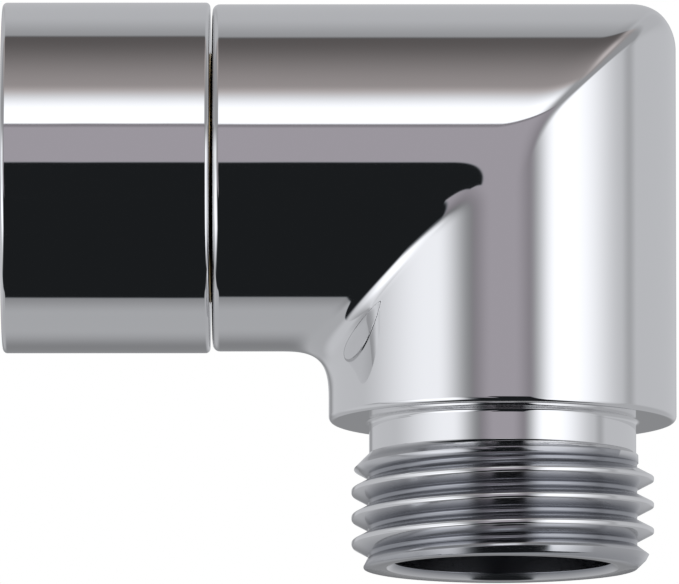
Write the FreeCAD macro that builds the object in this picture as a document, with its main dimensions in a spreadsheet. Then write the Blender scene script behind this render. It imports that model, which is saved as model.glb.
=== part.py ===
import FreeCAD, Part
import math
import os
import Sketcher

# Shower valve elbow: a 90 degree elbow in chromed brass. The level leg ends in a loose collar that
# screws on the valve, the upright leg in a G1/2 male connection for the hose.
# Frame: millimetres, X along the level leg towards the elbow, Z up. The origin is on the level axis
# at the plane where the collar's inside thread starts.

V = FreeCAD.Vector
doc = FreeCAD.newDocument("shower_valve_elbow")

# Driving sizes

sheet = doc.addObject("Spreadsheet::Sheet", "sizes")

SIZES = [
    ("collar_thread_diameter", 18.631),
    ("collar_length", 14.4),
    ("collar_wall", 1.575),
    ("collar_proud", 0.125),
    ("collar_edge", 0.2),
    ("mouth_recess_width", 1.3845),
    ("mouth_recess_depth", 1.0),
    ("mouth_bevel", 0.8),
    ("relief_depth", 1.2845),
    ("relief_length", 3.8),
    ("lip_length", 2.0),
    ("swivel_gap", 0.16),
    ("swivel_clearance", 0.08),
    ("level_leg_past_armpit", 8.05),
    ("upright_leg_past_armpit", 5.05),
    ("outer_corner_round", 3.2),
    ("inner_blend", 4.5),
    ("side_blend", 0.6),
    ("inner_blend_weight", 2.06),
    ("inlet_edge", 0.3),
    ("outlet_edge", 0.2),
    ("outlet_thread_diameter", 20.955),
    ("outlet_length", 10.15),
    ("outlet_bevel_width", 1.03),
    ("outlet_bevel_length", 1.6),
    ("neck_undercut", 1.2275),
    ("neck_length", 2.2),
    ("neck_root", 0.25),
    ("neck_wall", 1.65),
    ("outlet_countersink", 0.45),
    ("drill_point_angle", 118.0),
    ("flange_clearance", 0.1655),
    ("flange_play", 0.05),
    ("flange_thickness", 1.6),
    ("flange_step", 0.5),
    ("nose_step", 0.65),
    ("nose_length", 5.5),
    ("nose_clearance", 0.05),
    ("socket_runout", 0.5),
    ("spigot_step", 0.7),
    ("spigot_clearance", 0.1),
    ("spigot_end_wall", 0.75),
    ("seal_bore_runout", 0.5),
    ("seal_bore_step", 1.4),
    ("ring_groove_setback", 0.75),
    ("ring_groove_width", 2.0),
    ("ring_groove_depth", 1.3),
    ("ring_side_clearance", 0.1),
    ("ring_seal_clearance", 0.02),
    ("ring_corner", 0.35),
    ("tail_wall", 1.0),
    ("key_margin", 0.15),
    ("key_depth", 6.0),
    ("washer_clearance", 0.1155),
    ("washer_hole_margin", 1.0),
    ("washer_thickness", 2.0),
]

# Sizes that follow from the driving ones. Radii end in _r, stations along the level axis in _x and
# heights below the level axis in _below.
WORKED = [
    ("mouth_lead", "=mouth_recess_depth + mouth_bevel"),
    ("collar_thread_r", "=collar_thread_diameter / 2"),
    ("recess_r", "=collar_thread_r + mouth_recess_width"),
    ("mouth_bevel_r", "=collar_thread_r + mouth_bevel"),
    ("relief_r", "=collar_thread_r + relief_depth"),
    ("collar_r", "=relief_r + collar_wall"),
    ("collar_edge_r", "=collar_r - collar_edge"),
    ("mouth_edge_x", "=collar_edge - mouth_lead"),
    ("collar_end_x", "=collar_length - mouth_lead"),
    ("collar_edge_x", "=collar_end_x - collar_edge"),
    ("lip_x", "=collar_end_x - lip_length"),
    ("relief_x", "=lip_x - relief_length"),
    ("lip_r", "=shank_r + swivel_clearance"),
    ("leg_r", "=collar_r - collar_proud"),
    ("inlet_reach", "=leg_r + level_leg_past_armpit"),
    ("outlet_drop", "=leg_r + upright_leg_past_armpit"),
    ("elbow_face_x", "=collar_end_x + swivel_gap"),
    ("outlet_axis_x", "=elbow_face_x + inlet_reach"),
    ("crest_r", "=outlet_thread_diameter / 2"),
    ("neck_r", "=crest_r - neck_undercut"),
    ("neck_root_r", "=neck_r + neck_root"),
    ("outlet_face_r", "=crest_r - outlet_bevel_width"),
    ("outlet_bore_r", "=neck_r - neck_wall"),
    ("countersink_r", "=outlet_bore_r + outlet_countersink"),
    ("root_overlap_below", "=outlet_drop - neck_root"),
    ("neck_root_below", "=outlet_drop + neck_root"),
    ("neck_end_below", "=outlet_drop + neck_length"),
    ("crest_start_below", "=neck_end_below + neck_undercut"),
    ("outlet_face_below", "=outlet_drop + outlet_length"),
    ("bevel_start_below", "=outlet_face_below - outlet_bevel_length"),
    ("countersink_below", "=outlet_face_below - outlet_countersink"),
    ("outlet_point", "=outlet_bore_r / tan(drill_point_angle * 1deg / 2)"),
    ("flange_r", "=collar_thread_r - flange_clearance"),
    ("flange_end_x", "=lip_x - flange_play"),
    ("flange_x", "=flange_end_x - flange_thickness"),
    ("shank_r", "=flange_r - flange_step"),
    ("nose_r", "=shank_r - nose_step"),
    ("nose_end_x", "=elbow_face_x + nose_length"),
    ("spigot_r", "=nose_r - spigot_step"),
    ("groove_x", "=nose_end_x + ring_groove_setback"),
    ("groove_end_x", "=groove_x + ring_groove_width"),
    ("spigot_end_x", "=groove_end_x + spigot_end_wall"),
    ("ring_groove_r", "=spigot_r - ring_groove_depth"),
    ("tail_bore_r", "=ring_groove_r - tail_wall"),
    ("key_flat_z", "=tail_bore_r + key_margin"),
    ("key_corner_y", "=key_flat_z / sqrt(3)"),
    ("key_tip_y", "=2 * key_corner_y"),
    ("socket_r", "=nose_r + nose_clearance"),
    ("socket_end", "=inlet_reach - nose_length - socket_runout"),
    ("seal_bore_r", "=spigot_r + spigot_clearance"),
    ("seal_bore_end", "=inlet_reach - (spigot_end_x - elbow_face_x) - socket_runout - seal_bore_runout"),
    ("waterway_r", "=seal_bore_r - seal_bore_step"),
    ("waterway_point", "=waterway_r / tan(drill_point_angle * 1deg / 2)"),
    ("ring_inner_r", "=ring_groove_r + ring_seal_clearance"),
    ("ring_outer_r", "=seal_bore_r - ring_seal_clearance"),
    ("ring_inner_corner_r", "=ring_inner_r + ring_corner"),
    ("ring_outer_corner_r", "=ring_outer_r - ring_corner"),
    ("ring_x", "=groove_x + ring_side_clearance"),
    ("ring_end_x", "=groove_end_x - ring_side_clearance"),
    ("ring_corner_x", "=ring_x + ring_corner"),
    ("ring_end_corner_x", "=ring_end_x - ring_corner"),
    ("washer_r", "=collar_thread_r - washer_clearance"),
    ("washer_hole_r", "=tail_bore_r + washer_hole_margin"),
    ("washer_x", "=flange_x - washer_thickness"),
]

for row, (alias, value) in enumerate(SIZES + WORKED, start=1):
    sheet.set("A%d" % row, alias)
    sheet.set("B%d" % row, str(value))
    sheet.setAlias("B%d" % row, alias)
doc.recompute()


def size(alias):
    # The sheet's value for an alias, or for an alias with a minus sign, and 0 for "0".
    if alias == "0":
        return 0.0
    sign = -1.0 if alias.startswith("-") else 1.0
    number = sheet.get(alias.lstrip("-"))
    return sign * float(getattr(number, "Value", number))


def bound(alias):
    # The expression that ties a property to the sheet.
    return alias.replace("-", "-sizes.") if alias.startswith("-") else "sizes." + alias


def origin_plane(body, role):
    return next(f for f in body.Origin.OriginFeatures if f.Role == role)


def profile(body, name, role, corners):
    # A closed outline of straight lines on one of the body's own planes. Every corner is held
    # by its two distances from the origin, which follow the sheet.
    sketch = body.newObject("Sketcher::SketchObject", name)
    sketch.AttachmentSupport = [(origin_plane(body, role), "")]
    sketch.MapMode = "FlatFace"
    points = [V(size(x), size(y), 0) for x, y in corners]
    for i, point in enumerate(points):
        sketch.addGeometry(Part.LineSegment(point, points[(i + 1) % len(points)]), False)
    for i, (x, y) in enumerate(corners):
        sketch.addConstraint(Sketcher.Constraint("Coincident", i - 1 if i else len(corners) - 1, 2, i, 1))
        for kind, alias, value, axis in (("DistanceX", x, points[i].x, -2), ("DistanceY", y, points[i].y, -1)):
            if alias == "0":
                sketch.addConstraint(Sketcher.Constraint("PointOnObject", i, 1, axis))
            else:
                held = sketch.addConstraint(Sketcher.Constraint(kind, -1, 1, i, 1, value))
                sketch.setExpression("Constraints[%d]" % held, bound(alias))
    return sketch


def turned(body, kind, name, outline, axis):
    # A full turn of an outline about one of its own axes: Revolution adds, Groove cuts.
    feature = body.newObject("PartDesign::" + kind, name)
    feature.Profile = outline
    feature.ReferenceAxis = (outline, [axis])
    feature.Angle = 360
    doc.recompute()
    body.Tip = feature
    return feature


def cut_something(feature, before):
    # A cut that points away from the solid removes nothing and reports nothing.
    if not feature.Shape.Volume < before.Volume - 1.0:
        raise RuntimeError(feature.Name + " removed nothing")


def slab(x0, x1, z0, z1, depth):
    # A block that spans the whole part across Y.
    return Part.makeBox(x1 - x0, 2 * depth, z1 - z0, V(x0, -depth, z0))


def outer_half(r, reach, drop, corner):
    # The two legs above the level axis and outside the upright one. They meet in a true mitre,
    # and beyond the planes x = c and z = c the ridge is replaced by the leg's own outline turned
    # about their common line, a round corner that narrows to nothing along the ridge.
    depth = r + 1
    level = Part.makeCylinder(r, reach + r, V(-reach, 0, 0), V(1, 0, 0))
    upright = Part.makeCylinder(r, drop + r, V(0, 0, -drop), V(0, 0, 1))
    c = r - corner
    half_width = math.sqrt(r * r - c * c)
    mitre = level.common(upright).common(slab(0, depth, 0, depth, depth)).cut(slab(c, depth, c, depth, depth))
    rim = Part.Arc(V(c, -half_width, c), V(c, 0, r), V(c, half_width, c)).toShape()
    hinge = Part.makeLine(V(c, half_width, c), V(c, -half_width, c))
    tip = Part.Face(Part.Wire([rim, hinge])).revolve(V(c, 0, c), V(0, 1, 0), 90)
    top = level.common(slab(-reach, 0, 0, depth, depth))
    side = upright.common(slab(0, depth, -drop, 0, depth))
    return top.fuse([side, mitre, tip])


def inner_half(r, reach, drop, inside, beside, weight):
    # The two legs below the level axis and inside the upright one, with the hollow between them
    # filled by a conic blend. At the angle a round the leg the blend leaves both legs T before
    # their crossing, T = beside + (inside - beside) sin(a)^2, and its middle point has the weight
    # 1 + (weight - 1) sin(a)^2, so it is tight in the armpit and dies away to the sides.
    steps = 24
    start, crossing, end, weights = [], [], [], []
    for k in range(steps + 1):
        a = math.pi * k / steps
        y, s = -r * math.cos(a), -r * math.sin(a)
        reach_back = beside + (inside - beside) * math.sin(a) ** 2
        start.append(V(s - reach_back, y, s))
        crossing.append(V(s, y, s))
        end.append(V(s, y, s - reach_back))
        weights.append(1 + (weight - 1) * math.sin(a) ** 2)
    params = [k / steps for k in range(steps + 1)]

    def through(points):
        curve = Part.BSplineCurve()
        curve.interpolate(Points=points, Parameters=params)
        return curve

    first, last = through(start), through(end)
    scaled = through([p * w for p, w in zip(crossing, weights)])
    pole_weights = [p.x for p in through([V(w, k, 0) for k, w in enumerate(weights)]).getPoles()]
    middle = [p / w for p, w in zip(scaled.getPoles(), pole_weights)]
    plain = [1.0] * len(middle)
    surface = Part.BSplineSurface()
    surface.buildFromPolesMultsKnots(
        [first.getPoles(), middle, last.getPoles()], [3, 3], first.getMultiplicities(), [0.0, 1.0],
        first.getKnots(), False, False, 2, 3, [plain, pole_weights, plain])
    blend = surface.toShape()

    level_front, level_back = V(-beside, -r, 0), V(-beside, r, 0)
    upright_front, upright_back = V(0, -r, -beside), V(0, r, -beside)

    def blend_edge(p, q):
        return next(e for e in blend.Edges if sorted(
            min((v.Point - p).Length, (v.Point - q).Length) < 1e-4 for v in e.Vertexes) == [True, True])

    def flat(edges):
        face = Part.Face(Part.Wire(edges))
        face.validate()
        return face

    def leg(turn, edges):
        surface = Part.Cylinder()
        surface.Radius = r
        surface.rotate(FreeCAD.Placement(V(0, 0, 0), turn))
        face = Part.Face(surface, Part.Wire(edges))
        face.validate()
        return face

    on_level = blend_edge(level_front, level_back)
    on_upright = blend_edge(upright_front, upright_back)
    inlet_front, inlet_back = V(-reach, -r, 0), V(-reach, r, 0)
    foot_front, foot_back = V(0, -r, -drop), V(0, r, -drop)
    front, back = V(0, -r, 0), V(0, r, 0)
    inlet_arc = Part.Arc(inlet_front, V(-reach, 0, -r), inlet_back).toShape()
    foot_arc = Part.Arc(foot_front, V(-r, 0, -drop), foot_back).toShape()
    line = Part.makeLine
    quarter = FreeCAD.Rotation(V(0, 0, 1), 90)
    faces = [
        blend.Faces[0],
        leg(FreeCAD.Rotation(V(0, 1, 0), 90) * quarter,
            [line(inlet_front, level_front), on_level, line(level_back, inlet_back), inlet_arc]),
        leg(quarter, [line(foot_front, upright_front), on_upright, line(upright_back, foot_back), foot_arc]),
        flat([line(level_front, front), line(front, upright_front), blend_edge(level_front, upright_front)]),
        flat([line(level_back, back), line(back, upright_back), blend_edge(level_back, upright_back)]),
        flat([inlet_arc, line(inlet_back, inlet_front)]),
        flat([foot_arc, line(foot_back, foot_front)]),
        flat([line(inlet_front, level_front), line(level_front, front), line(front, back),
              line(back, level_back), line(level_back, inlet_back), line(inlet_back, inlet_front)]),
        flat([line(foot_front, upright_front), line(upright_front, front), line(front, back),
              line(back, upright_back), line(upright_back, foot_back), line(foot_back, foot_front)]),
    ]
    shell = Part.Shell(faces)
    shell.sewShape()
    solid = Part.Solid(shell)
    return solid if solid.Volume > 0 else solid.reversed()


def elbow_skin():
    # The solid elbow without its bores and its threaded outlet, about the crossing of its axes.
    r, reach, drop = size("leg_r"), size("inlet_reach"), size("outlet_drop")
    outside = outer_half(r, reach, drop, size("outer_corner_round"))
    inside = inner_half(r, reach, drop, size("inner_blend"), size("side_blend"), size("inner_blend_weight"))
    skin = outside.fuse(inside).removeSplitter()
    inlet_rim = [e for e in skin.Edges if max(abs(e.BoundBox.XMin + reach), abs(e.BoundBox.XMax + reach)) < 1e-5]
    skin = skin.makeChamfer(size("inlet_edge"), inlet_rim)
    outlet_rim = [e for e in skin.Edges if max(abs(e.BoundBox.ZMin + drop), abs(e.BoundBox.ZMax + drop)) < 1e-5]
    return skin.makeChamfer(size("outlet_edge"), outlet_rim)


# Elbow: the cast outside, then the turned outlet, then the two bores from its open ends

skin = doc.addObject("Part::Feature", "elbow_skin")
skin.Shape = elbow_skin()
elbow = doc.addObject("PartDesign::Body", "elbow")
elbow.Label = "elbow_body"
elbow.BaseFeature = skin
doc.recompute()

outlet_outline = profile(elbow, "outlet_outline", "XZ_Plane", [
    ("0", "-outlet_face_below"),
    ("outlet_face_r", "-outlet_face_below"),
    ("crest_r", "-bevel_start_below"),
    ("crest_r", "-crest_start_below"),
    ("neck_r", "-neck_end_below"),
    ("neck_r", "-neck_root_below"),
    ("neck_root_r", "-outlet_drop"),
    ("neck_root_r", "-root_overlap_below"),
    ("0", "-root_overlap_below"),
])
outlet = turned(elbow, "Revolution", "outlet_connection", outlet_outline, "V_Axis")

outlet_bore_outline = profile(elbow, "outlet_bore_outline", "XZ_Plane", [
    ("0", "-outlet_face_below"),
    ("countersink_r", "-outlet_face_below"),
    ("outlet_bore_r", "-countersink_below"),
    ("outlet_bore_r", "0"),
    ("0", "outlet_point"),
])
outlet_waterway = turned(elbow, "Groove", "outlet_waterway", outlet_bore_outline, "V_Axis")
cut_something(outlet_waterway, outlet.Shape)

inlet_bore_outline = profile(elbow, "inlet_bore_outline", "XZ_Plane", [
    ("-inlet_reach", "0"),
    ("-inlet_reach", "socket_r"),
    ("-socket_end", "socket_r"),
    ("-socket_end", "seal_bore_r"),
    ("-seal_bore_end", "seal_bore_r"),
    ("-seal_bore_end", "waterway_r"),
    ("0", "waterway_r"),
    ("waterway_point", "0"),
])
inlet_waterway = turned(elbow, "Groove", "inlet_waterway", inlet_bore_outline, "H_Axis")
cut_something(inlet_waterway, outlet_waterway.Shape)
elbow.setExpression("Placement.Base.x", "sizes.outlet_axis_x")

# Collar: turned all over, with an inward lip that the tailpiece's flange holds

collar = doc.addObject("PartDesign::Body", "collar")
collar.Label = "swivel_collar"
collar_outline = profile(collar, "collar_outline", "XZ_Plane", [
    ("-mouth_lead", "recess_r"),
    ("-mouth_lead", "collar_edge_r"),
    ("mouth_edge_x", "collar_r"),
    ("collar_edge_x", "collar_r"),
    ("collar_end_x", "collar_edge_r"),
    ("collar_end_x", "lip_r"),
    ("lip_x", "lip_r"),
    ("lip_x", "relief_r"),
    ("relief_x", "relief_r"),
    ("relief_x", "collar_thread_r"),
    ("0", "collar_thread_r"),
    ("-mouth_bevel", "mouth_bevel_r"),
    ("-mouth_bevel", "recess_r"),
])
turned(collar, "Revolution", "collar_turning", collar_outline, "H_Axis")

# Tailpiece: flange, shank, nose that screws into the elbow, and a spigot with the ring's groove

tailpiece = doc.addObject("PartDesign::Body", "tailpiece")
tailpiece.Label = "swivel_tailpiece"
tailpiece_outline = profile(tailpiece, "tailpiece_outline", "XZ_Plane", [
    ("flange_x", "tail_bore_r"),
    ("flange_x", "flange_r"),
    ("flange_end_x", "flange_r"),
    ("flange_end_x", "shank_r"),
    ("elbow_face_x", "shank_r"),
    ("elbow_face_x", "nose_r"),
    ("nose_end_x", "nose_r"),
    ("nose_end_x", "spigot_r"),
    ("groove_x", "spigot_r"),
    ("groove_x", "ring_groove_r"),
    ("groove_end_x", "ring_groove_r"),
    ("groove_end_x", "spigot_r"),
    ("spigot_end_x", "spigot_r"),
    ("spigot_end_x", "tail_bore_r"),
])
tailpiece_turning = turned(tailpiece, "Revolution", "tailpiece_turning", tailpiece_outline, "H_Axis")
key_outline = profile(tailpiece, "key_outline", "YZ_Plane", [
    ("key_corner_y", "key_flat_z"),
    ("-key_corner_y", "key_flat_z"),
    ("-key_tip_y", "0"),
    ("-key_corner_y", "-key_flat_z"),
    ("key_corner_y", "-key_flat_z"),
    ("key_tip_y", "0"),
])
key_outline.setExpression("AttachmentOffset.Base.z", "sizes.flange_x")
key_hole = tailpiece.newObject("PartDesign::Pocket", "key_hole")
key_hole.Profile = key_outline
key_hole.Reversed = True
key_hole.setExpression("Length", "sizes.key_depth")
doc.recompute()
tailpiece.Tip = key_hole
cut_something(key_hole, tailpiece_turning.Shape)

# Ring, drawn as it sits squeezed in its groove, with flats where it touches

ring = doc.addObject("PartDesign::Body", "ring")
ring.Label = "tailpiece_oring"
ring_outline = profile(ring, "ring_outline", "XZ_Plane", [
    ("ring_corner_x", "ring_inner_r"),
    ("ring_end_corner_x", "ring_inner_r"),
    ("ring_end_x", "ring_inner_corner_r"),
    ("ring_end_x", "ring_outer_corner_r"),
    ("ring_end_corner_x", "ring_outer_r"),
    ("ring_corner_x", "ring_outer_r"),
    ("ring_x", "ring_outer_corner_r"),
    ("ring_x", "ring_inner_corner_r"),
])
turned(ring, "Revolution", "ring_moulding", ring_outline, "H_Axis")

# Washer against the flange, which seals the elbow on the valve

washer = doc.addObject("PartDesign::Body", "washer")
washer.Label = "inlet_washer"
washer_outline = profile(washer, "washer_outline", "XZ_Plane", [
    ("washer_x", "washer_hole_r"),
    ("flange_x", "washer_hole_r"),
    ("flange_x", "washer_r"),
    ("washer_x", "washer_r"),
])
turned(washer, "Revolution", "washer_cutting", washer_outline, "H_Axis")

doc.recompute()

# Nothing is written unless every object and every piece came out whole

for item in doc.Objects:
    if "Invalid" in item.State or "Error" in item.State:
        raise RuntimeError("%s did not compute: %s" % (item.Name, item.State))

os.makedirs("parts", exist_ok=True)
for piece in (elbow, collar, tailpiece, ring, washer):
    shape = piece.Shape
    if shape.isNull() or not shape.isValid() or len(shape.Solids) != 1:
        raise RuntimeError(piece.Label + " is not one whole solid")
    shape.exportStep("parts/%s.step" % piece.Label)
    box = shape.BoundBox
    print("%-17s %9.2f mm3  x %.2f..%.2f  y %.2f..%.2f  z %.2f..%.2f" % (
        piece.Label, shape.Volume, box.XMin, box.XMax, box.YMin, box.YMax, box.ZMin, box.ZMax))
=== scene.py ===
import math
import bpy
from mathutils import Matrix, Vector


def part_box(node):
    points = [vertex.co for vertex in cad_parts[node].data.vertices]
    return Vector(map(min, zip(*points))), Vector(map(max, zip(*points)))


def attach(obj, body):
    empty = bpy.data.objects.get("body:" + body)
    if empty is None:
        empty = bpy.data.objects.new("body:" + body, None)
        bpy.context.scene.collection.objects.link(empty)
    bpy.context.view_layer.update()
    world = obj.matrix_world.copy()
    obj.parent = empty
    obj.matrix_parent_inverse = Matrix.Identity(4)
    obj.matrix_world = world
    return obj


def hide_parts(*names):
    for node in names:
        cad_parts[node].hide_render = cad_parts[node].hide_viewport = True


bl_info = {
    "name": "Shower Valve Elbow",
    "version": (1, 0, 0),
    "blender": (4, 5, 0),
    "location": "View3D > Sidebar > Elbow",
    "description": "Chromed right-angle elbow with a swivel collar and a male hose thread",
    "category": "Object",
}

import bmesh
import bpy
import numpy as np
from mathutils import Vector

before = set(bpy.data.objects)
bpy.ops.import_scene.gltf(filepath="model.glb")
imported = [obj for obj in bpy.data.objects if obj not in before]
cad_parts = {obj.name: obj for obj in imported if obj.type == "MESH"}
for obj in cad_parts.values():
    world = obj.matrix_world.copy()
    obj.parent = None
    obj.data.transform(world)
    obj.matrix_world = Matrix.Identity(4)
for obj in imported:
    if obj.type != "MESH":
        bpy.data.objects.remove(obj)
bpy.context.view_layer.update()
ELBOW_LOW, ELBOW_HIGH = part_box("elbow_body")
COLLAR_LOW, COLLAR_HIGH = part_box("swivel_collar")
TAIL_LOW, TAIL_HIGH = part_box("swivel_tailpiece")
RING_LOW, RING_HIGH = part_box("tailpiece_oring")
WASHER_LOW, WASHER_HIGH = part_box("inlet_washer")

LEG_R = ELBOW_HIGH.y
OUTLET_X = ELBOW_HIGH.x - LEG_R
MM = 0.001
COLUMNS = 288
IMAGE_WIDTH = 679

# A point this far outside each arc keeps the straight parts flat in the shading
GUARD = 0.03 * MM

# The inlet's bores inside the elbow: a socket for the tailpiece's nose, its seal's bore, the waterway
SOCKET_R, SOCKET_DEPTH = 8.05 * MM, 6 * MM
SEAL_R, SEAL_DEPTH = 7.4 * MM, 10 * MM
WATERWAY_R = 6.0 * MM

# Angles in degrees: a thread's flanks off square, and a drill's point off square
FLANK_ANGLE = 27.5
DRILL_ANGLE = 31


# Sizes and colours that a user would change


class ElbowSizes(bpy.types.PropertyGroup):
    outlet_drop: bpy.props.FloatProperty(
        name="Outlet drop", description="From the inlet axis down to the elbow's flat lower face",
        default=17.1 * MM, unit="LENGTH", precision=5)
    edge_round: bpy.props.FloatProperty(
        name="Inlet edge", description="Radius of the rounded edge at the elbow's inlet face",
        default=0.5 * MM, unit="LENGTH", precision=5)
    rim_round: bpy.props.FloatProperty(
        name="Outlet edge", description="Radius of the rounded edge at the elbow's lower face",
        default=0.4 * MM, unit="LENGTH", precision=5)
    outer_blend: bpy.props.FloatProperty(
        name="Outer corner", description="How far from the mitre's crossing the outer corner starts to turn",
        default=3.15 * MM, unit="LENGTH", precision=5)
    inner_blend: bpy.props.FloatProperty(
        name="Inner corner", description="How far from the mitre's crossing the inner corner starts to turn",
        default=3.7 * MM, unit="LENGTH", precision=5)
    crease_blend: bpy.props.FloatProperty(
        name="Crease blend", description="The same distance along the mitre's crease, where it is sharpest",
        default=0.6 * MM, unit="LENGTH", precision=5)
    front_blend: bpy.props.FloatProperty(
        name="Front blend", description="What the polishing adds to it at the elbow's two flanks",
        default=2.4 * MM, unit="LENGTH", precision=5)
    neck_radius: bpy.props.FloatProperty(
        name="Neck radius", description="Radius of the plain neck above the outlet thread",
        default=9.25 * MM, unit="LENGTH", precision=5)
    neck_length: bpy.props.FloatProperty(
        name="Neck length", description="Length of the plain neck",
        default=2.2 * MM, unit="LENGTH", precision=5)
    outlet_bore: bpy.props.FloatProperty(
        name="Outlet bore", description="Radius of the outlet waterway",
        default=7.6 * MM, unit="LENGTH", precision=5)


class ThreadSizes(bpy.types.PropertyGroup):
    pitch: bpy.props.FloatProperty(
        name="Pitch", description="Distance between neighbouring crests",
        default=1.814 * MM, unit="LENGTH", precision=5)
    crest_radius: bpy.props.FloatProperty(
        name="Major radius", description="Radius over the crests of the male thread",
        default=10.4775 * MM, unit="LENGTH", precision=5)
    root_radius: bpy.props.FloatProperty(
        name="Minor radius", description="Radius at the roots of the male thread",
        default=9.3155 * MM, unit="LENGTH", precision=5)
    crest_height: bpy.props.FloatProperty(
        name="Crest height", description="Height of the crest at the +X side, below the inlet axis",
        default=-22.87 * MM, unit="LENGTH", precision=5)
    bevel_length: bpy.props.FloatProperty(
        name="End bevel length", description="Length of the bevel at the outlet's end",
        default=1.6 * MM, unit="LENGTH", precision=5)
    bevel_width: bpy.props.FloatProperty(
        name="End bevel width", description="Width of the bevel at the outlet's end",
        default=0.85 * MM, unit="LENGTH", precision=5)


class Finishes(bpy.types.PropertyGroup):
    chrome_colour: bpy.props.FloatVectorProperty(
        name="Chrome", description="Reflection colour of the polished plating", subtype="COLOR",
        size=3, min=0, max=1, default=(0.80, 0.80, 0.805))
    chrome_roughness: bpy.props.FloatProperty(
        name="Chrome roughness", description="Roughness of the polished plating", default=0.035, min=0, max=1)
    brass_colour: bpy.props.FloatVectorProperty(
        name="Brass", description="Colour of the turned brass inside", subtype="COLOR",
        size=3, min=0, max=1, default=(0.74, 0.55, 0.27))
    rubber_colour: bpy.props.FloatVectorProperty(
        name="Rubber", description="Colour of the washer and the ring", subtype="COLOR",
        size=3, min=0, max=1, default=(0.025, 0.025, 0.027))


class StudioSettings(bpy.types.PropertyGroup):
    camera_distance: bpy.props.FloatProperty(
        name="Camera distance", description="From the camera to the middle of the view",
        default=1.2, unit="LENGTH")
    camera_azimuth: bpy.props.FloatProperty(
        name="Camera azimuth", description="Turn of the camera about Z from straight in front",
        default=math.radians(0.15), subtype="ANGLE")
    camera_elevation: bpy.props.FloatProperty(
        name="Camera elevation", description="Height of the camera, negative from below",
        default=math.radians(-7.1), subtype="ANGLE")
    pixels_per_metre: bpy.props.FloatProperty(
        name="View scale", description="Pixels of the 679 pixel wide picture to a metre at the middle of the view",
        default=14420.0)
    lamp_power: bpy.props.FloatProperty(
        name="Lamp power", description="Power of each soft lamp in watts", default=0.6)


# Surfaces


def rounded(corners, radii, steps=6, guard=GUARD):
    """An outline of straight lines with arcs at its corners.

    At a corner that turns by q the arc of radius r starts r tan(q / 2) before the corner, and its
    points turn about a centre that lies r to the side of the incoming line. One more point stands a
    guard's length outside each end of the arc, so that shading stays flat on the straight parts.
    """
    p = np.asarray(corners, float)
    r = np.asarray(radii, float)[:, None]
    into = p[1:-1] - p[:-2]
    out = p[2:] - p[1:-1]
    into /= np.linalg.norm(into, axis=1)[:, None]
    out /= np.linalg.norm(out, axis=1)[:, None]
    turn = np.arctan2(into[:, 0] * out[:, 1] - into[:, 1] * out[:, 0], (into * out).sum(1))[:, None]
    side = np.stack([-into[:, 1], into[:, 0]], 1) * np.sign(turn)
    tangent = r * np.tan(np.abs(turn) / 2)
    start = p[1:-1] - into * tangent
    end = p[1:-1] + out * tangent
    centre = start + side * r
    angle = np.arctan2(*(start - centre).T[::-1])[:, None] + turn * np.linspace(0, 1, steps + 1)
    arcs = centre[:, None] + r[:, :, None] * np.stack([np.cos(angle), np.sin(angle)], 2)
    body = np.concatenate([(start - into * guard)[:, None], arcs, (end + out * guard)[:, None]], 1)
    return np.concatenate([p[:1], body.reshape(-1, 2), p[-1:]])


def around():
    """The columns' angles, a full turn in equal steps without the last."""
    return np.linspace(0, 2 * math.pi, COLUMNS, endpoint=False)


def rows_of(values):
    """Values as rows by columns: a plain list becomes one column."""
    return np.atleast_2d(np.asarray(values, float).T).T


def turned_about_x(along, radius, angle):
    """Rows of points (x, r cos q, r sin q). along and radius are rows, or rows by columns."""
    along, radius = rows_of(along), rows_of(radius)
    x = along + 0 * radius + 0 * angle
    return np.stack([x, radius * np.cos(angle) + 0 * x, radius * np.sin(angle) + 0 * x], 2)


def turned_about_outlet(radius, height, angle):
    """Rows of points (X + r cos q, r sin q, z) about the outlet's axis."""
    radius, height = rows_of(radius), rows_of(height)
    z = height + 0 * radius + 0 * angle
    return np.stack([OUTLET_X + radius * np.cos(angle) + 0 * z, radius * np.sin(angle) + 0 * z, z], 2)


def quads(rows, columns, offset, lead=0):
    """Corner numbers of the quads of a grid that closes round its columns.

    On a screw, row i of the last column meets row i + lead of the first, where lead is the number
    of rows to a turn.
    """
    i, j = np.meshgrid(np.arange(rows - 1), np.arange(columns), indexing="ij")
    m = (j + 1) % columns
    near = np.where(m == 0, np.minimum(i + lead, rows - 1), i)
    far = np.where(m == 0, np.minimum(i + lead + 1, rows - 1), i + 1)
    corners = [i * columns + j, near * columns + m, far * columns + m, (i + 1) * columns + j]
    return offset + np.stack(corners, 2).reshape(-1, 4)


def outwards(work):
    """Turns every face to the outside: all one way first, then by the sign of the enclosed volume."""
    bmesh.ops.recalc_face_normals(work, faces=work.faces)
    if work.calc_volume(signed=True) < 0:
        bmesh.ops.reverse_faces(work, faces=work.faces)


def mesh_of(name, grids):
    """A mesh of (points, lead) grids, whose coinciding points are made one."""
    points, faces, count = [], [], 0
    for grid, lead in grids:
        rows, columns = grid.shape[:2]
        points.append(grid.reshape(-1, 3))
        faces.append(quads(rows, columns, count, lead))
        count += rows * columns
    points, faces = np.concatenate(points), np.concatenate(faces)
    mesh = bpy.data.meshes.new(name)
    mesh.vertices.add(len(points))
    mesh.vertices.foreach_set("co", points.astype(np.float32).ravel())
    mesh.loops.add(faces.size)
    mesh.loops.foreach_set("vertex_index", faces.astype(np.int32).ravel())
    mesh.polygons.add(len(faces))
    mesh.polygons.foreach_set("loop_start", np.arange(0, faces.size, 4, dtype=np.int32))
    mesh.update(calc_edges=True)
    mesh.validate()
    work = bmesh.new()
    work.from_mesh(mesh)
    bmesh.ops.remove_doubles(work, verts=work.verts, dist=1e-7)
    outwards(work)
    work.to_mesh(mesh)
    work.free()
    mesh.polygons.foreach_set("use_smooth", np.ones(len(mesh.polygons), bool))
    return mesh


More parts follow.
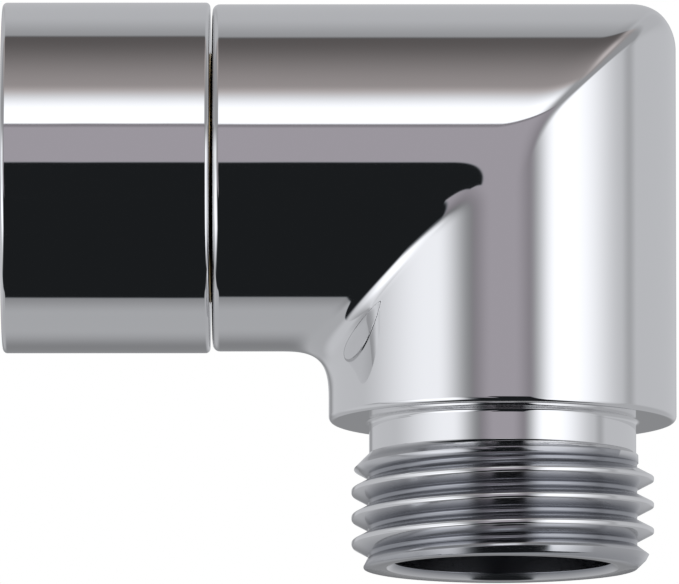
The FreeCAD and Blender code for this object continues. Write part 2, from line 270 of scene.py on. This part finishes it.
def place(name, mesh, body, slot, material, *nodes):
    """The finished piece: it rides on its body and stands for its nodes."""
    piece = bpy.data.objects.new(name, mesh)
    bpy.context.scene.collection.objects.link(piece)
    piece.data.materials.append(material)
    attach(piece, body)
    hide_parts(*nodes)
    return piece


def thread_outline(sizes):
    """One turn's outline as (phase, height): a crest at phase 0 and a root at 0.5.

    Crest and root are flats of about a sixth of the pitch, whose corners are rounded. Heights run
    from 0 at the root to 1 at the crest, and lengths are in pitches.
    """
    corner_radius, arc_steps, guard = 0.075, 3, 0.01
    depth = (sizes.crest_radius - sizes.root_radius) / sizes.pitch
    flat = (1 - 2 * depth * math.tan(math.radians(FLANK_ANGLE))) / 4
    corners = np.array([(0, depth), (flat, depth), (0.5 - flat, 0), (0.5 + flat, 0), (1 - flat, depth), (1, depth)])
    outline = rounded(corners, [corner_radius] * 4, arc_steps, guard)
    return outline[:-1, 0], outline[:-1, 1] / depth


def threaded(sizes, low, high, origin, angle):
    """Rows that follow a right-hand helix, as (place along the axis, share of the thread's depth).

    Along the axis a point stands at origin + pitch (turn + phase + q / 2 pi). Rows beyond low and
    high are drawn back to those planes, where they meet.
    """
    phase, height = thread_outline(sizes)
    first = math.floor((low - origin) / sizes.pitch) - 2
    last = math.ceil((high - origin) / sizes.pitch) + 2
    row = (np.arange(first, last)[:, None] + phase).reshape(-1)
    along = origin + sizes.pitch * (row[:, None] + angle / (2 * math.pi))
    along = np.clip(along, low, high)
    where = (along - origin) / sizes.pitch - angle / (2 * math.pi)
    share = np.interp(where - np.floor(where), np.append(phase, 1), np.append(height, height[0]))
    return along, share, len(phase)


def elbow_path(sizes, angle):
    """The elbow's outside from its inlet to its lower face, one column for each angle a.

    Every column lies in the plane y = -R cos a. It runs level at the height s = R sin a, turns down
    where the two legs cross and goes on at the distance s from the outlet's axis. The turn starts a
    reach before the crossing and ends a reach after it. Both reaches grow with a power of |sin a| to
    the corner's own, and with a bell curve of s towards the flanks, and on the outside the first has
    a second bell at half height. The turn mixes a conic, whose middle point is the crossing and which
    is a true arc at the outer corner, with a quartic Bezier curve that leaves the straights softly.
    """
    turn_steps, straight_steps = 49, 8
    r, s, y = LEG_R, LEG_R * np.sin(angle), -LEG_R * np.cos(angle)
    outside = s > 0
    grow = np.abs(np.sin(angle))
    flank = np.exp(-(s / (0.2 * r)) ** 2)
    half_height = np.exp(-((s - 0.5 * r) / (0.27 * r)) ** 2)

    crease, inner_crease, front = sizes.crease_blend, 1.7 * sizes.crease_blend, sizes.front_blend
    corner = sizes.outer_blend - crease
    inner = inner_crease + (sizes.inner_blend - inner_crease) * grow ** 6 + 0.9 * front * flank
    before = np.where(outside, crease + corner * grow ** 10 + front * (1.1 * flank + half_height), inner)
    after = np.where(outside, crease + corner * grow ** 8 + 1.2 * front * flank, inner)

    weight = np.where(outside, 1 - 0.29 * grow ** 2, 1 + 1.06 * grow ** 2)
    soft = np.where(outside, 1 - grow ** 8, 1.0)
    t = np.linspace(0, 1, turn_steps)[:, None]
    a, b, c = (1 - t) ** 2, 2 * weight * t * (1 - t), t ** 2
    first, last = a / (a + b + c), c / (a + b + c)
    first = first + ((1 - t) ** 4 + 2 * (1 - t) ** 3 * t - first) * soft
    last = last + (t ** 4 + 2 * t ** 3 * (1 - t) - last) * soft
    turn_x, turn_z = s - before * first, s - after * last

    inlet = ELBOW_LOW.x - OUTLET_X + sizes.edge_round + GUARD
    foot = -sizes.outlet_drop + sizes.rim_round + GUARD
    share = np.linspace(0, 1, straight_steps)[:, None]
    level_x = inlet + share * (s - before - GUARD - inlet)
    upright_z = s - after - GUARD + share * (foot - s + after + GUARD)
    x = np.concatenate([level_x, turn_x, np.broadcast_to(s, upright_z.shape)])
    z = np.concatenate([np.broadcast_to(s, level_x.shape), turn_z, upright_z])
    return np.stack([OUTLET_X + x, np.broadcast_to(y, x.shape), z], 2)


def passage(bore, countersink_z):
    """The waterways inside the elbow, as one mesh without its two open ends.

    The outlet bore and the inlet bore are turned solids with drill points, and their union is kept.
    """
    angle = around()
    point = math.tan(math.radians(DRILL_ANGLE))
    upright = turned_about_outlet(
        [0, bore, bore, bore, 0], [countersink_z, countersink_z, -9 * MM, 0, bore * point], angle - math.pi / 2)
    seal_x = ELBOW_LOW.x + SEAL_DEPTH
    level = turned_about_x(
        [seal_x, seal_x, OUTLET_X, OUTLET_X + WATERWAY_R * point], [0, WATERWAY_R, WATERWAY_R, 0], angle + math.pi)
    pieces = []
    for name, grid in (("upright_way", upright), ("level_way", level)):
        piece = bpy.data.objects.new(name, mesh_of(name, [(grid, 0)]))
        bpy.context.scene.collection.objects.link(piece)
        pieces.append(piece)
    join = pieces[0].modifiers.new("ways", "BOOLEAN")
    join.operation, join.solver, join.object = "UNION", "EXACT", pieces[1]
    bpy.context.view_layer.update()
    joined = bpy.data.meshes.new_from_object(pieces[0].evaluated_get(bpy.context.evaluated_depsgraph_get()))
    for piece in pieces:
        bpy.data.objects.remove(piece)
    work = bmesh.new()
    work.from_mesh(joined)
    near = 0.001 * MM
    ends = [f for f in work.faces if abs(f.calc_center_median().z - countersink_z) < near
            or abs(f.calc_center_median().x - seal_x) < near]
    bmesh.ops.delete(work, geom=ends, context="FACES")
    work.to_mesh(joined)
    work.free()
    return joined


def elbow_mesh(sizes, thread):
    """The whole elbow: inlet bores, inlet face, legs, lower face, neck, thread, end face, waterways."""
    a = around()
    inlet, r = ELBOW_LOW.x, LEG_R
    edge, rim = sizes.edge_round, sizes.rim_round
    seal_x, socket_x = inlet + SEAL_DEPTH, inlet + SOCKET_DEPTH
    mouth = rounded(
        [(seal_x, WATERWAY_R), (seal_x, SEAL_R), (socket_x, SEAL_R), (socket_x, SOCKET_R), (inlet, SOCKET_R),
         (inlet, r), (inlet + 2 * edge, r)],
        [0.1 * MM, 0.15 * MM, 0.1 * MM, 0.2 * MM, edge])[:-2]
    inlet_rows = turned_about_x(mouth[:, 0], mouth[:, 1], math.pi - a)
    outside = elbow_path(sizes, a)

    q = a - math.pi / 2
    drop, neck = sizes.outlet_drop, sizes.neck_radius
    neck_end = -drop - sizes.neck_length
    foot = rounded(
        [(r, -drop + 2 * rim), (r, -drop), (neck, -drop), (neck, neck_end + GUARD), (neck, neck_end)],
        [rim, 0.3 * MM, 0])
    foot_rows = turned_about_outlet(foot[2:, 0], foot[2:, 1], q)

    end, crest, end_r = ELBOW_LOW.z, thread.crest_radius, thread.crest_radius - thread.bevel_width
    bevel_round = 0.15 * MM
    along, share, lead = threaded(thread, end, neck_end, thread.crest_height, q)
    blank = rounded(
        [(end, end_r), (end + thread.bevel_length, crest), (neck_end - (crest - neck), crest), (neck_end, neck)],
        [bevel_round] * 2)
    groove = thread.root_radius + share * (crest - thread.root_radius)
    radius = np.minimum(groove, np.interp(along, blank[:, 0], blank[:, 1]))
    thread_rows = turned_about_outlet(radius, along, q)

    bore, sink = sizes.outlet_bore, 0.45 * MM
    face = rounded(
        [(end_r - bevel_round, end), (bore + sink, end), (bore, end + sink), (bore, end + 3 * sink)], [0.06 * MM] * 2)
    face_rows = np.concatenate([thread_rows[:1], turned_about_outlet(face[1:, 0], face[1:, 1], q)])

    skin_rows = np.concatenate([inlet_rows, outside, foot_rows])
    mesh = mesh_of("elbow_shell", [(skin_rows, 0), (thread_rows, lead), (face_rows, 0)])
    work = bmesh.new()
    work.from_mesh(mesh)
    work.from_mesh(passage(bore, end + 3 * sink))
    bmesh.ops.remove_doubles(work, verts=work.verts, dist=0.002 * MM)
    outwards(work)
    work.to_mesh(mesh)
    work.free()
    mesh.polygons.foreach_set("use_smooth", np.ones(len(mesh.polygons), bool))
    dulled(mesh, thread, neck_end, bore)
    return mesh


def dulled(mesh, thread, neck_end, bore):
    """How dull the plating is at each point, and how much painted shade darkens it: 1 in the waterways, and from 0 at
    the crests to 1 at the roots.
    """
    points = np.empty(3 * len(mesh.vertices), np.float32)
    mesh.vertices.foreach_get("co", points)
    x, y, z = points.reshape(-1, 3).T
    out = np.hypot(x - OUTLET_X, y)
    groove = np.clip((thread.crest_radius - out) / (thread.crest_radius - thread.root_radius), 0, 1)
    on_thread = (z < neck_end - 0.3 * MM) & (out > bore + 1.2 * MM)
    in_outlet = (out < bore + 0.4 * MM) & (z < 0)
    in_inlet = (np.hypot(y, z) < SOCKET_R + 0.01 * MM) & (x < OUTLET_X) & (z > -SOCKET_R - 0.05 * MM)
    # Where this is 1 the plating is rougher, and painted shade darkens its colour in the waterways and the thread's
    # roots
    dull_and_shade = np.where(in_outlet | in_inlet, 1.0, np.where(on_thread, groove, 0))
    mesh.attributes.new("dull_and_shade", "FLOAT", "POINT").data.foreach_set("value", dull_and_shade.astype(np.float32))


def collar_mesh(thread):
    """The collar, turned all over, with a right-hand inside thread between its mouth and its relief."""
    a = around()
    start, end, r = COLLAR_LOW.x, COLLAR_HIGH.x, COLLAR_HIGH.y
    minor, major = thread.root_radius, thread.crest_radius
    recess, relief, lip = 10.7 * MM, 10.6 * MM, 8.73 * MM
    recess_x, relief_x, lip_x = start + 1.0 * MM, 6.8 * MM, end - 2.0 * MM
    mouth, edge, first_turn = minor + 0.8 * MM, 0.32 * MM, 0.35 * MM
    outside = rounded(
        [(relief_x, relief), (lip_x, relief), (lip_x, lip), (end, lip), (end, r), (start, r), (start, recess),
         (recess_x, recess), (recess_x, mouth)],
        [0.2 * MM, 0.1 * MM, 0.2 * MM, edge, edge, 0.12 * MM, 0.1 * MM])
    along, share, lead = threaded(thread, recess_x, relief_x, first_turn, a)
    groove = major - (1 - share) * (major - minor)
    blank = np.interp(
        along, [recess_x, 0, relief_x - 0.5 * MM, relief_x], [mouth, minor, minor, minor + 0.5 * MM])
    thread_rows = turned_about_x(along, np.maximum(groove, blank), a)
    outside_rows = turned_about_x(outside[:, 0], outside[:, 1], a)
    outside_rows = np.concatenate([thread_rows[-1:], outside_rows, thread_rows[:1]])
    return mesh_of("swivel_collar_shell", [(outside_rows, 0), (thread_rows, lead)])


def tailpiece_mesh():
    """The sleeve behind the collar: flange, shank, nose, grooved spigot and a six-sided key hole.

    The key hole's radius at the angle q is f / cos(q mod 60 - 30 degrees), with f half the width
    over its flats.
    """
    a = around()
    x, tail_end, shoulder = TAIL_LOW.x, TAIL_HIGH.x, ELBOW_LOW.x
    bore, flat, key_bevel = 5.0 * MM, 5.15 * MM, 0.2 * MM
    mouth, flange, shank, nose, spigot, groove_floor = 6.2 * MM, 9.15 * MM, 8.65 * MM, 8 * MM, 7.3 * MM, 6 * MM
    flange_end, nose_end = x + 1.6 * MM, shoulder + 5.5 * MM
    groove, groove_end = nose_end + 0.75 * MM, nose_end + 2.75 * MM
    corners = [
        (x, mouth), (x, flange), (flange_end, flange), (flange_end, shank), (shoulder, shank), (shoulder, nose),
        (nose_end, nose), (nose_end, spigot), (groove, spigot), (groove, groove_floor), (groove_end, groove_floor),
        (groove_end, spigot), (tail_end, spigot), (tail_end, bore), (x + 6.3 * MM, bore)]
    outline = rounded(corners, [0.15 * MM] * (len(corners) - 2))
    key = flat / np.cos(np.mod(a, math.pi / 3) - math.pi / 6)
    deep = np.array([x + 6 * MM, x + 6 * MM, x + 0.25 * MM, x])[:, None] + 0 * a
    radius = np.stack([0 * a + bore, key, key, key + key_bevel])
    rows = np.concatenate([turned_about_x(outline[:, 0], outline[:, 1], a), turned_about_x(deep, radius, a)])
    return mesh_of("swivel_tailpiece_shell", [(np.concatenate([rows, rows[:1]]), 0)])


def ring_mesh(name, low, high, inner, outer, roundness):
    """A moulded ring with a rounded section: an outline of four corners, turned about X."""
    middle = (inner + outer) / 2
    corners = [(low, middle), (low, outer), (high, outer), (high, inner), (low, inner), (low, middle)]
    outline = rounded(corners, [roundness] * 4, steps=8)
    return mesh_of(name, [(turned_about_x(outline[:, 0], outline[:, 1], around()), 0)])


# Finishes


def finish(name, roughness, metallic):
    """A new material with its Principled shader and its Object coordinates."""
    material = bpy.data.materials.new(name)
    material.use_nodes = True
    nodes, links = material.node_tree.nodes, material.node_tree.links
    shader = nodes["Principled BSDF"]
    shader.inputs["Roughness"].default_value = roughness
    shader.inputs["Metallic"].default_value = metallic
    coordinates = nodes.new("ShaderNodeTexCoord")
    return material, nodes, links, shader, coordinates.outputs["Object"]


def noise(nodes, links, vector, scale, detail):
    """A noise value from 0 to 1, with about scale waves to the metre."""
    texture = nodes.new("ShaderNodeTexNoise")
    texture.inputs["Scale"].default_value = scale
    texture.inputs["Detail"].default_value = detail
    links.new(vector, texture.inputs["Vector"])
    return texture.outputs["Fac"]


def mapped(nodes, links, value, low, high):
    """A value from 0 to 1 spread between low and high."""
    spread = nodes.new("ShaderNodeMapRange")
    spread.inputs["To Min"].default_value = low
    spread.inputs["To Max"].default_value = high
    links.new(value, spread.inputs["Value"])
    return spread.outputs["Result"]


def bump(nodes, links, height, distance, strength=1.0):
    """A normal that makes a height from 0 to 1 stand out by a distance in metres."""
    node = nodes.new("ShaderNodeBump")
    node.inputs["Distance"].default_value = distance
    node.inputs["Strength"].default_value = strength
    links.new(height, node.inputs["Height"])
    return node.outputs["Normal"]


def shades(nodes, links, value, dark, light):
    """A colour between dark and light."""
    ramp = nodes.new("ShaderNodeValToRGB")
    ramp.color_ramp.elements[0].color = (*dark, 1)
    ramp.color_ramp.elements[1].color = (*light, 1)
    links.new(value, ramp.inputs["Fac"])
    return ramp.outputs["Color"]


def chrome_plate(finishes):
    """Polished plating: a clean mirror with slow waves left by the buffing, duller where no wheel reaches, and there
    darkened by painted shade in the thread's roots and the waterways.
    """
    roughness, added_by_dull = finishes.chrome_roughness, 0.14
    material, nodes, links, shader, position = finish("chrome_plate", roughness, 1.0)
    colour = np.array(finishes.chrome_colour)
    # Painted shade: a darker bluish colour for the thread's roots and the waterways, laid on by the attribute below
    painted_shade_colour = colour * (0.42, 0.43, 0.46)
    cloud = noise(nodes, links, position, scale=90.0, detail=3.0)
    dull_and_shade = nodes.new("ShaderNodeAttribute")
    dull_and_shade.attribute_name = "dull_and_shade"
    mixed = nodes.new("ShaderNodeMix")
    mixed.data_type = "RGBA"
    sockets = {socket.identifier: socket for socket in (*mixed.inputs, *mixed.outputs)}
    links.new(dull_and_shade.outputs["Fac"], sockets["Factor_Float"])
    links.new(shades(nodes, links, cloud, colour * 0.985, colour), sockets["A_Color"])
    sockets["B_Color"].default_value = (*painted_shade_colour, 1)
    links.new(sockets["Result_Color"], shader.inputs["Base Color"])
    haze = noise(nodes, links, position, scale=400.0, detail=4.0)
    haze = mapped(nodes, links, haze, roughness * 0.7, roughness * 1.3)
    rougher = nodes.new("ShaderNodeMath")
    rougher.operation = "MULTIPLY_ADD"
    rougher.inputs[1].default_value = added_by_dull
    links.new(dull_and_shade.outputs["Fac"], rougher.inputs[0])
    links.new(haze, rougher.inputs[2])
    links.new(rougher.outputs["Value"], shader.inputs["Roughness"])
    wave = noise(nodes, links, position, scale=160.0, detail=1.0)
    links.new(bump(nodes, links, wave, distance=0.006 * MM), shader.inputs["Normal"])
    return material


def turned_brass(finishes):
    """Bare turned brass: fine rings about the level axis and a little tarnish."""
    material, nodes, links, shader, position = finish("turned_brass", 0.26, 1.0)
    colour = np.array(finishes.brass_colour)
    tarnish = noise(nodes, links, position, scale=350.0, detail=5.0)
    links.new(shades(nodes, links, tarnish, colour * 0.72, colour), shader.inputs["Base Color"])
    rings = nodes.new("ShaderNodeTexWave")
    rings.wave_type, rings.rings_direction = "RINGS", "X"
    rings.inputs["Scale"].default_value = 900.0
    rings.inputs["Distortion"].default_value = 1.5
    links.new(position, rings.inputs["Vector"])
    grooves = bump(nodes, links, rings.outputs["Fac"], distance=0.01 * MM, strength=0.5)
    links.new(grooves, shader.inputs["Normal"])
    return material


def moulded_rubber(finishes):
    """Moulded rubber: matt black with a fine grain and faint dust."""
    material, nodes, links, shader, position = finish("moulded_rubber", 0.62, 0.0)
    colour = np.array(finishes.rubber_colour)
    dust = noise(nodes, links, position, scale=500.0, detail=6.0)
    links.new(shades(nodes, links, dust, colour, colour * 2.2), shader.inputs["Base Color"])
    grain = noise(nodes, links, position, scale=3500.0, detail=3.0)
    links.new(bump(nodes, links, grain, distance=0.03 * MM, strength=0.6), shader.inputs["Normal"])
    return material


def made_once(maker):
    """The finish that a function makes and names after itself, made at its first use."""
    known = bpy.data.materials.get(maker.__name__)
    return known or maker(bpy.context.scene.elbow_finishes)


# Studio


def step(value, edge, soft):
    """0 below an edge and 1 above it, with a smooth change soft degrees wide."""
    t = np.clip((value - edge) / soft + 0.5, 0, 1)
    return t * t * (3 - 2 * t)


def band(value, low, high, soft_low, soft_high):
    """1 between two edges and 0 outside them, each with its own softness."""
    return step(value, low, soft_low) * step(high, value, soft_high)


def painted(light, value, mask):
    """The light with a value laid over it where the mask is 1."""
    return light + (value - light) * mask


def round_the_part(a):
    """A grey wall with a doorway behind, two light boxes, a light stand, and a grey screen in front."""
    doorway = -172
    light = painted(0.45, 0.21, step(16, np.abs((a - doorway + 180) % 360 - 180), 14))
    light = painted(light, 0.80, band(a, -80, 0, 60, 2))
    light = painted(light, 0.98, band(a, 0, 68, 2, 44))
    light = painted(light, 0.34, band(a, 89, 97, 8, 8))
    return painted(light, 0.31 - 0.11 * step(np.abs(a), 14, 14), band(a, -32, 26.5, 26, 20))


def overhead(light, e, up, side):
    """The ceiling, and in the middle a short light box in a dark frame, a dark corner and the back wall."""
    middle = step(0.24, side, 0.24)
    ceiling = 0.26 + 0.14 * step(e, 100, 20)
    above = 0.27 - 0.185 * step(e, 73, 50)
    above = painted(above, 0.26 + 0.14 * step(e, 110, 30), step(e, 100, 3))
    above = painted(above, 1.00, step(47, e, 20))
    above = painted(above, ceiling, step(side, 0.20, 0.24))
    light = painted(light, above, step(e, 28.5, 0.6) * middle)
    light = painted(light, ceiling, step(up, 17, 18) * (1 - middle))
    return light * (1 - 0.35 * band(e, 26.3, 28.4, 1.5, 0.6) * middle)


def low_at_the_left(light, x, e, forward, screen_edge):
    """The left light box with its lamp's glow, behind the screen's slanted edge."""
    box = (0.80 - 0.30 * step(-x, 0.9, 0.25)) * (1 - 0.42 * step(-e, 62, 45))
    box = box + 0.30 * np.exp(-((x + 0.70) / 0.28) ** 2 - ((e + 33) / 20) ** 2)
    low = painted(0.31 - 0.15 * step(-x, 0.23, 0.4), box, step(screen_edge, x, 0.20))
    return painted(light, low, step(-e, 0, 10) * step(-x, 0.05, 0.1) * step(forward, -0.2, 0.3))


def below(light, x, e, up, side):
    """The pale floor, brighter near the part, and paler still to both sides."""
    floor = 0.19 + 0.16 * band(e, -141, -98, 30, 20)
    floor = painted(floor, 0.36 + 0.12 * step(-x, 0.65, 0.3), step(side, 0.12, 0.2))
    return painted(light, floor, step(-e, 88, 2) * step(-up, 10, 20))


def black_table(x, e, side, screen_edge):
    """Where the black table stands: its front, and the camera's shelf on it, up to a slanted right end."""
    shelf_end = np.interp(e, [-20, -3, 4], [-0.05, -0.185, -0.14])
    table_top = np.interp(x, [-0.40, -0.06], [-11.5, -20.5])
    right_end = np.interp(e, [-95, -45, 4], [0.78, 0.42, 0.30])
    foot = -88.5 - 5 * step(0.2 - side, 0.1, 0.2)
    shelf = step(x, shelf_end, 0.015)
    front = step(table_top, e, 3) * step(x, screen_edge + 0.08, 0.16)
    return np.maximum(shelf, front) * band(e, foot, 2.8, 1.5, 1) * step(right_end, x, 0.03)


def studio_light(d):
    """How bright the studio is in each direction d, as linear colour.

    x is the direction's part to the right, e turns about X from straight in front over the top, a
    turns about Z from straight in front to the right, and up is the height, in degrees. Each thing
    in the studio is a brightness laid over what stands behind it, with soft edges. Its place and its
    brightness are chosen so that the elbow looks as it does in the photograph.
    """
    x, forward = d[..., 0], -d[..., 1]
    e = np.degrees(np.arctan2(d[..., 2], forward))
    a = np.degrees(np.arctan2(x, forward))
    up = np.degrees(np.arcsin(d[..., 2]))
    side = np.abs(x)
    screen_edge = np.interp(e, [-90, -42, 5], [-0.73, -0.36, -0.50])

    light = overhead(round_the_part(a), e, up, side)
    light = low_at_the_left(light, x, e, forward, screen_edge)
    light = below(light, x, e, up, side)
    black = black_table(x, e, side, screen_edge)
    light = painted(light, 0.010, black)

    screen = step(20 - np.abs(a), 0, 6) * step(up, -25, 10) * step(28.2, e, 0.5) * (1 - black)
    ceiling = band(e, 50, 99, 8, 2) * step(0.5 - side, 0.1, 0.3)
    mauve, warm, bluish = (-0.01, 0.065, 0.01), (-0.05, 0.05, 0.09), (0.05, -0.05, -0.12)
    taken = sum(part[..., None] * np.array(colour)
                for part, colour in ((screen, mauve), (ceiling, warm), (black, bluish)))
    cool_white, exposure = np.array([0.985, 1.0, 1.04]), 1.33
    return light[..., None] * (1 - taken) * cool_white * exposure


def studio_mesh():
    """A dome about the part whose lower side is drawn in to a level floor, with its light as a colour."""
    dome_radius, floor_drop = 5.0, 1.6
    rows, columns = 361, 720
    e = np.linspace(-math.pi, math.pi, columns, endpoint=False)
    across = np.linspace(-math.pi / 2, math.pi / 2, rows)[:, None]
    d = np.stack([np.sin(across) + 0 * e, -np.cos(across) * np.cos(e), np.cos(across) * np.sin(e)], 2)
    far = np.minimum(dome_radius, floor_drop / np.maximum(-d[..., 2], 1e-6))
    points = (d * far[..., None]).reshape(-1, 3) + np.array([OUTLET_X, 0, 0])
    mesh = bpy.data.meshes.new("studio")
    mesh.from_pydata(points, [], quads(rows, columns, 0).tolist())
    rgb = studio_light(d).reshape(-1, 3)
    rgba = np.concatenate([rgb, np.ones((len(rgb), 1))], 1).astype(np.float32)
    mesh.attributes.new("light", "FLOAT_COLOR", "POINT").data.foreach_set("color", rgba.ravel())
    mesh.polygons.foreach_set("use_smooth", np.ones(len(mesh.polygons), bool))
    return mesh


def studio_material():
    """White to the camera, and the studio's own light to everything else."""
    material = bpy.data.materials.new("studio_light")
    material.use_nodes = True
    nodes, links = material.node_tree.nodes, material.node_tree.links
    nodes.clear()
    path = nodes.new("ShaderNodeLightPath")
    light = nodes.new("ShaderNodeAttribute")
    light.attribute_name = "light"
    seen = nodes.new("ShaderNodeEmission")
    seen.inputs["Color"].default_value = (1, 1, 1, 1)
    reflected = nodes.new("ShaderNodeEmission")
    links.new(light.outputs["Color"], reflected.inputs["Color"])
    mix = nodes.new("ShaderNodeMixShader")
    links.new(path.outputs["Is Camera Ray"], mix.inputs["Fac"])
    links.new(reflected.outputs["Emission"], mix.inputs[1])
    links.new(seen.outputs["Emission"], mix.inputs[2])
    output = nodes.new("ShaderNodeOutputMaterial")
    links.new(mix.outputs["Shader"], output.inputs["Surface"])
    material.cycles.emission_sampling = "NONE"
    return material


# Operators


class ELBOW_OT_elbow(bpy.types.Operator):
    """Makes the chromed elbow with its blended mitre, its waterways and its helical male thread"""
    bl_idname = "elbow.elbow"
    bl_label = "Elbow"

    def execute(self, context):
        scene = context.scene
        mesh = elbow_mesh(scene.elbow_sizes, scene.thread_sizes)
        place("elbow_shell", mesh, "elbow", "polished_chrome", made_once(chrome_plate), "elbow_body")
        return {"FINISHED"}


class ELBOW_OT_collar(bpy.types.Operator):
    """Makes the smooth swivel collar with its inside thread and its lip"""
    bl_idname = "elbow.collar"
    bl_label = "Collar"

    def execute(self, context):
        mesh = collar_mesh(context.scene.thread_sizes)
        place("swivel_collar_shell", mesh, "collar", "polished_chrome", made_once(chrome_plate),
              "swivel_collar")
        return {"FINISHED"}


class ELBOW_OT_tailpiece(bpy.types.Operator):
    """Makes the brass tailpiece that holds the collar, with its key hole"""
    bl_idname = "elbow.tailpiece"
    bl_label = "Tailpiece"

    def execute(self, context):
        place("swivel_tailpiece_shell", tailpiece_mesh(), "elbow", "bare_brass", made_once(turned_brass),
              "swivel_tailpiece")
        return {"FINISHED"}


class ELBOW_OT_seals(bpy.types.Operator):
    """Makes the flat inlet washer and the tailpiece's O-ring"""
    bl_idname = "elbow.seals"
    bl_label = "Seals"

    def execute(self, context):
        for node, low, high, inner, roundness in (
                ("inlet_washer", WASHER_LOW, WASHER_HIGH, 6.0 * MM, 0.25 * MM),
                ("tailpiece_oring", RING_LOW, RING_HIGH, 6.02 * MM, 0.6 * MM)):
            name = node + "_shell"
            ring = ring_mesh(name, low.x, high.x, inner, high.y, roundness)
            place(name, ring, "elbow", "black_rubber", made_once(moulded_rubber), node)
        return {"FINISHED"}


class ELBOW_OT_studio(bpy.types.Operator):
    """Makes the studio: a dome with its light and its floor, soft lamps, and the camera"""
    bl_idname = "elbow.studio"
    bl_label = "Studio"

    def execute(self, context):
        scene, studio = context.scene, context.scene.studio_settings
        dome = bpy.data.objects.new("studio", studio_mesh())
        scene.collection.objects.link(dome)
        dome.data.materials.append(studio_material())
        dome.visible_shadow = False
        target = Vector((OUTLET_X - 11.3 * MM, 0, -7.98 * MM))
        for name, place_from_target in (("lamp_left", (-0.5, -0.5, 0.45)), ("lamp_right", (0.55, -0.4, 0.5)),
                                        ("lamp_back", (0.1, 0.6, 0.5))):
            lamp = bpy.data.lights.new(name, "AREA")
            lamp.energy, lamp.size = studio.lamp_power, 0.35
            stand = bpy.data.objects.new(name, lamp)
            stand.location = target + Vector(place_from_target)
            stand.rotation_euler = (target - stand.location).to_track_quat("-Z", "Y").to_euler()
            stand.visible_glossy = False
            scene.collection.objects.link(stand)
        az, el = studio.camera_azimuth, studio.camera_elevation
        back = Vector((math.sin(az) * math.cos(el), -math.cos(az) * math.cos(el), math.sin(el)))
        data = bpy.data.cameras.new("camera")
        data.lens = studio.pixels_per_metre * studio.camera_distance / IMAGE_WIDTH * data.sensor_width
        data.clip_start, data.clip_end = 0.01, 50
        camera = bpy.data.objects.new("camera", data)
        camera.location = target + back * studio.camera_distance
        camera.rotation_euler = (-back).to_track_quat("-Z", "Y").to_euler()
        scene.collection.objects.link(camera)
        scene.camera = camera
        world = bpy.data.worlds.new("world")
        world.use_nodes = True
        world.node_tree.nodes["Background"].inputs["Color"].default_value = (1, 1, 1, 1)
        scene.world = world
        scene.view_settings.view_transform = "Standard"
        return {"FINISHED"}


OPERATORS = (ELBOW_OT_elbow, ELBOW_OT_collar, ELBOW_OT_tailpiece, ELBOW_OT_seals, ELBOW_OT_studio)
SETTINGS = (
    ("elbow_sizes", ElbowSizes),
    ("thread_sizes", ThreadSizes),
    ("elbow_finishes", Finishes),
    ("studio_settings", StudioSettings),
)


class ELBOW_PT_panel(bpy.types.Panel):
    """Lists the part's sizes, finishes and operators"""
    bl_idname = "ELBOW_PT_panel"
    bl_label = "Shower valve elbow"
    bl_space_type = "VIEW_3D"
    bl_region_type = "UI"
    bl_category = "Elbow"

    def draw(self, context):
        for name, group in SETTINGS:
            box = self.layout.box()
            for key in group.__annotations__:
                box.prop(getattr(context.scene, name), key)
        for operator in OPERATORS:
            self.layout.operator(operator.bl_idname)


def register():
    for name, group in SETTINGS:
        bpy.utils.register_class(group)
        setattr(bpy.types.Scene, name, bpy.props.PointerProperty(type=group))
    for cls in OPERATORS + (ELBOW_PT_panel,):
        bpy.utils.register_class(cls)


def unregister():
    for cls in reversed(OPERATORS + (ELBOW_PT_panel,)):
        bpy.utils.unregister_class(cls)
    for name, group in reversed(SETTINGS):
        delattr(bpy.types.Scene, name)
        bpy.utils.unregister_class(group)


def main():
    register()
    bpy.ops.elbow.elbow()
    bpy.ops.elbow.collar()
    bpy.ops.elbow.tailpiece()
    bpy.ops.elbow.seals()
    bpy.ops.elbow.studio()


if __name__ == "__main__":
    main()
